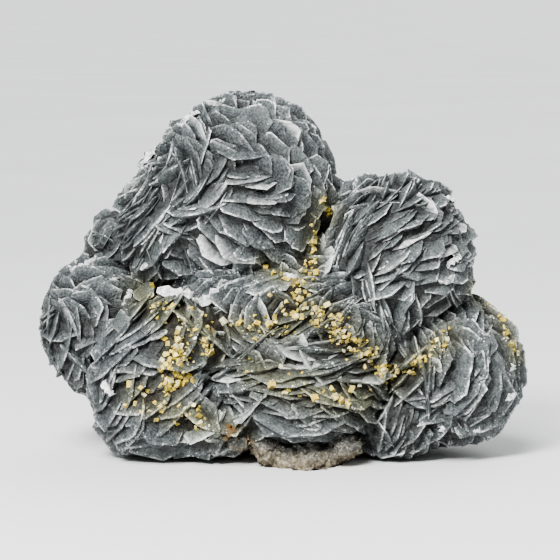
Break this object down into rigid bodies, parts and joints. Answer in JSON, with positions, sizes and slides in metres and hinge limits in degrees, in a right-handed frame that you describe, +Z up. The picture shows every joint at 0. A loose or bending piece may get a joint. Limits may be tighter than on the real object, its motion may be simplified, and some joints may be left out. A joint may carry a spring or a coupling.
{
  "type": "calcite mineral specimen",
  "caption": "Standing calcite specimen: grey rosettes of thin lens-shaped blades grown together over a brown base stone, with small yellow crystals in the hollows.",
  "frame": {"origin": "on the flat underside of the base stone, near the middle of the specimen's width", "axes": "+Z up as the specimen is displayed, +X to the right along its greatest width, the display side faces -Y"},
  "size_m": [0.1605, 0.0809, 0.121],
  "materials": {
    "grey_calcite": "frosted blue-grey crystal faces with pale chipped rims",
    "brown_stone": "dull rough broken rock",
    "yellow_crystal": "glossy translucent crystal, pale yellow to amber"
  },
  "bodies": {
    "root": {"base_stone": "brown_stone", "calcite_rosettes": "grey_calcite", "yellow_crystals_01": "yellow_crystal", "yellow_crystals_02": "yellow_crystal", "yellow_crystals_03": "yellow_crystal", "yellow_crystals_04": "yellow_crystal", "yellow_crystals_05": "yellow_crystal", "yellow_crystals_06": "yellow_crystal", "yellow_crystals_07": "yellow_crystal", "yellow_crystals_08": "yellow_crystal", "yellow_crystals_09": "yellow_crystal", "yellow_crystals_10": "yellow_crystal", "yellow_crystals_11": "yellow_crystal", "yellow_crystals_12": "yellow_crystal", "yellow_crystals_13": "yellow_crystal", "yellow_crystals_14": "yellow_crystal", "yellow_crystals_15": "yellow_crystal", "yellow_crystals_16": "yellow_crystal", "yellow_crystals_17": "yellow_crystal", "yellow_crystals_18": "yellow_crystal", "yellow_crystals_19": "yellow_crystal", "yellow_crystals_20": "yellow_crystal", "yellow_crystals_21": "yellow_crystal", "yellow_crystals_22": "yellow_crystal", "yellow_crystals_23": "yellow_crystal", "yellow_crystals_24": "yellow_crystal", "yellow_crystals_25": "yellow_crystal", "yellow_crystals_26": "yellow_crystal", "yellow_crystals_27": "yellow_crystal"}
  },
  "joints": []
}
